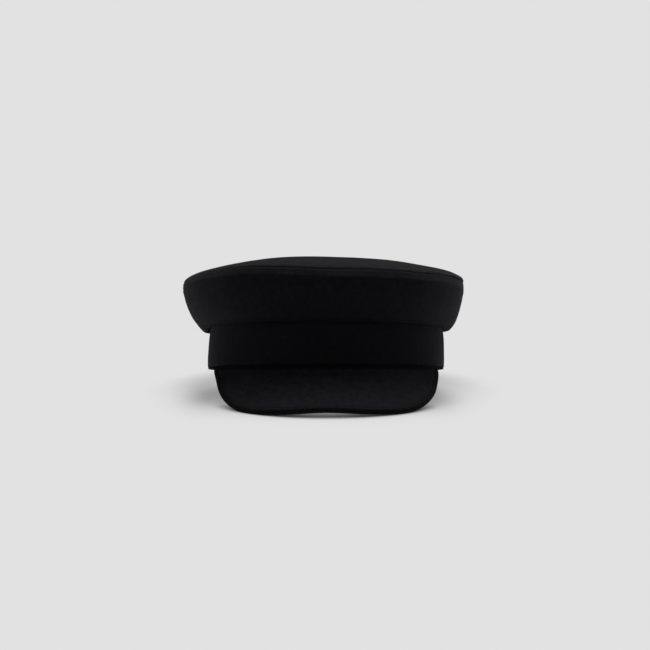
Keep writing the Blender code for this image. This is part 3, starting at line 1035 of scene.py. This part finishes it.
# %% Lay the table
TABLE_WHITE = 0.050
TABLE_GLOW = 0.7030
GLOW_REACH = 0.050
GLOW_FALL = 0.6
TOUCH_REACH = 0.008
TOUCH_FALL = 0.8
plane = bmesh.new()
bmesh.ops.create_grid(plane, x_segments=1, y_segments=1, size=30.0)
floor_mesh = bpy.data.meshes.new("floor")
plane.to_mesh(floor_mesh)
plane.free()
floor = bpy.data.objects.new("floor", floor_mesh)
bpy.context.scene.collection.objects.link(floor)
floor_paint = bpy.data.materials.new("floor_paint")
floor_paint.use_nodes = True
floor_shader = floor_paint.node_tree.nodes["Principled BSDF"]
floor_shader.inputs["Base Color"].default_value = (*[TABLE_WHITE] * 3, 1)
floor_shader.inputs["Roughness"].default_value = 1.0
floor_shader.inputs["Specular IOR Level"].default_value = 0.0
floor_shader.inputs["Emission Color"].default_value = (1, 1, 1, 1)
bench = Bench(floor_paint.node_tree)
# painted shade: the glow darkens where something stands close over the table
open_sky = bench.node("ShaderNodeAmbientOcclusion", {"samples": 8}, Distance=GLOW_REACH)
touching = bench.node("ShaderNodeAmbientOcclusion", {"samples": 8}, Distance=TOUCH_REACH)
glow = bench.math("MULTIPLY", bench.math("POWER", open_sky.outputs["AO"], GLOW_FALL), TABLE_GLOW)
glow = bench.math("MULTIPLY", bench.math("POWER", touching.outputs["AO"], TOUCH_FALL), glow)

# %% [markdown]
# ## The shade beside the band
# A bell curve in both directions of the table gives the shade its soft outline. It is flat between
# the band's sides and falls off beyond them.

# %% Paint the shade into the glow
SHADE_CENTRE = (-0.0020, -0.0200)
SHADE_START = 0.080
SHADE_WIDTH = 0.0175
SHADE_LENGTH = 0.065
SHADE_DEPTH = 0.53
on_floor = bench.node("ShaderNodeTexCoord").outputs["Object"]
spot = bench.node("ShaderNodeSeparateXYZ", Vector=on_floor)
sideways = bench.math("ABSOLUTE", bench.math("SUBTRACT", spot.outputs["X"], SHADE_CENTRE[0]))
beyond_band = bench.math("MAXIMUM", bench.math("SUBTRACT", sideways, SHADE_START), 0.0)
across = bench.math("POWER", bench.math("DIVIDE", beyond_band, SHADE_WIDTH), 2.0)
forward = bench.math("SUBTRACT", spot.outputs["Y"], SHADE_CENTRE[1])
lengthwise = bench.math("DIVIDE", forward, SHADE_LENGTH)
both = bench.math("ADD", across, bench.math("MULTIPLY", lengthwise, lengthwise))
shade = bench.math("EXPONENT", bench.math("MULTIPLY", both, -1.0))
glow = bench.math("MULTIPLY", glow, bench.math("MULTIPLY_ADD", shade, -SHADE_DEPTH, 1.0))
bench.feed(floor_shader.inputs["Emission Strength"], glow)
floor_mesh.materials.append(floor_paint)

# %% [markdown]
# ## The lights
# A softbox that is far away for its size lights the whole cap evenly. A sun lamp with a wide angle
# does the same. Two faint ones at the sides draw the pale edges of the wool.

# %% Hang the lights


def softbox(name, azimuth, elevation, strength, spread):
    """A large soft light far away: azimuth 0 is the camera's side, 90 the picture's right."""
    lamp = bpy.data.lights.new(name, "SUN")
    lamp.energy = strength
    lamp.angle = math.radians(spread)
    light = bpy.data.objects.new(name, lamp)
    bpy.context.scene.collection.objects.link(light)
    a, e = math.radians(azimuth), math.radians(elevation)
    towards = Vector((math.sin(a) * math.cos(e), -math.cos(a) * math.cos(e), math.sin(e)))
    light.rotation_euler = towards.to_track_quat("Z", "Y").to_euler()


softbox("overhead_softbox", 162, 76, 3.35, 44)
softbox("left_softbox", -100, 35, 0.10, 50)
softbox("right_softbox", 100, 35, 0.12, 50)

# %% [markdown]
# ## The room
# The cloth is lit by a dim even room, while the camera looks past the table at a wall as bright as
# the table itself.

# %% Paint the room
BACKDROP = 0.7605
world = bpy.data.worlds.new("studio")
world.use_nodes = True
bpy.context.scene.world = world
world.node_tree.nodes.clear()
bench = Bench(world.node_tree)
room = bench.node("ShaderNodeBackground", Color=(1, 1, 1, 1), Strength=0.06)
wall_seen = bench.node("ShaderNodeBackground", Color=(*[BACKDROP] * 3, 1))
rays = bench.node("ShaderNodeLightPath")
either = bench.node("ShaderNodeMixShader", Fac=rays.outputs["Is Camera Ray"])
bench.feed(either.inputs[1], room.outputs[0])
bench.feed(either.inputs[2], wall_seen.outputs[0])
bench.node("ShaderNodeOutputWorld", Surface=either.outputs[0])
bpy.context.scene.view_settings.view_transform = "Standard"

# %% [markdown]
# ## The camera
# It stands far off with a long lens, hardly above the table, so the cap is seen nearly straight from
# the front and only a thin strip of the top shows.

# %% Set up the camera
CAMERA_ELEVATION = math.radians(6.5)
CAMERA_DISTANCE = 1.55
AIM = Vector((0.0018, 0.0, 0.0495))
lens = bpy.data.cameras.new("camera")
lens.lens = 115.2
camera = bpy.data.objects.new("camera", lens)
bpy.context.scene.collection.objects.link(camera)
away = Vector((0, -math.cos(CAMERA_ELEVATION), math.sin(CAMERA_ELEVATION)))
camera.location = AIM + CAMERA_DISTANCE * away
camera.rotation_euler = away.to_track_quat("Z", "Y").to_euler()
bpy.context.scene.camera = camera
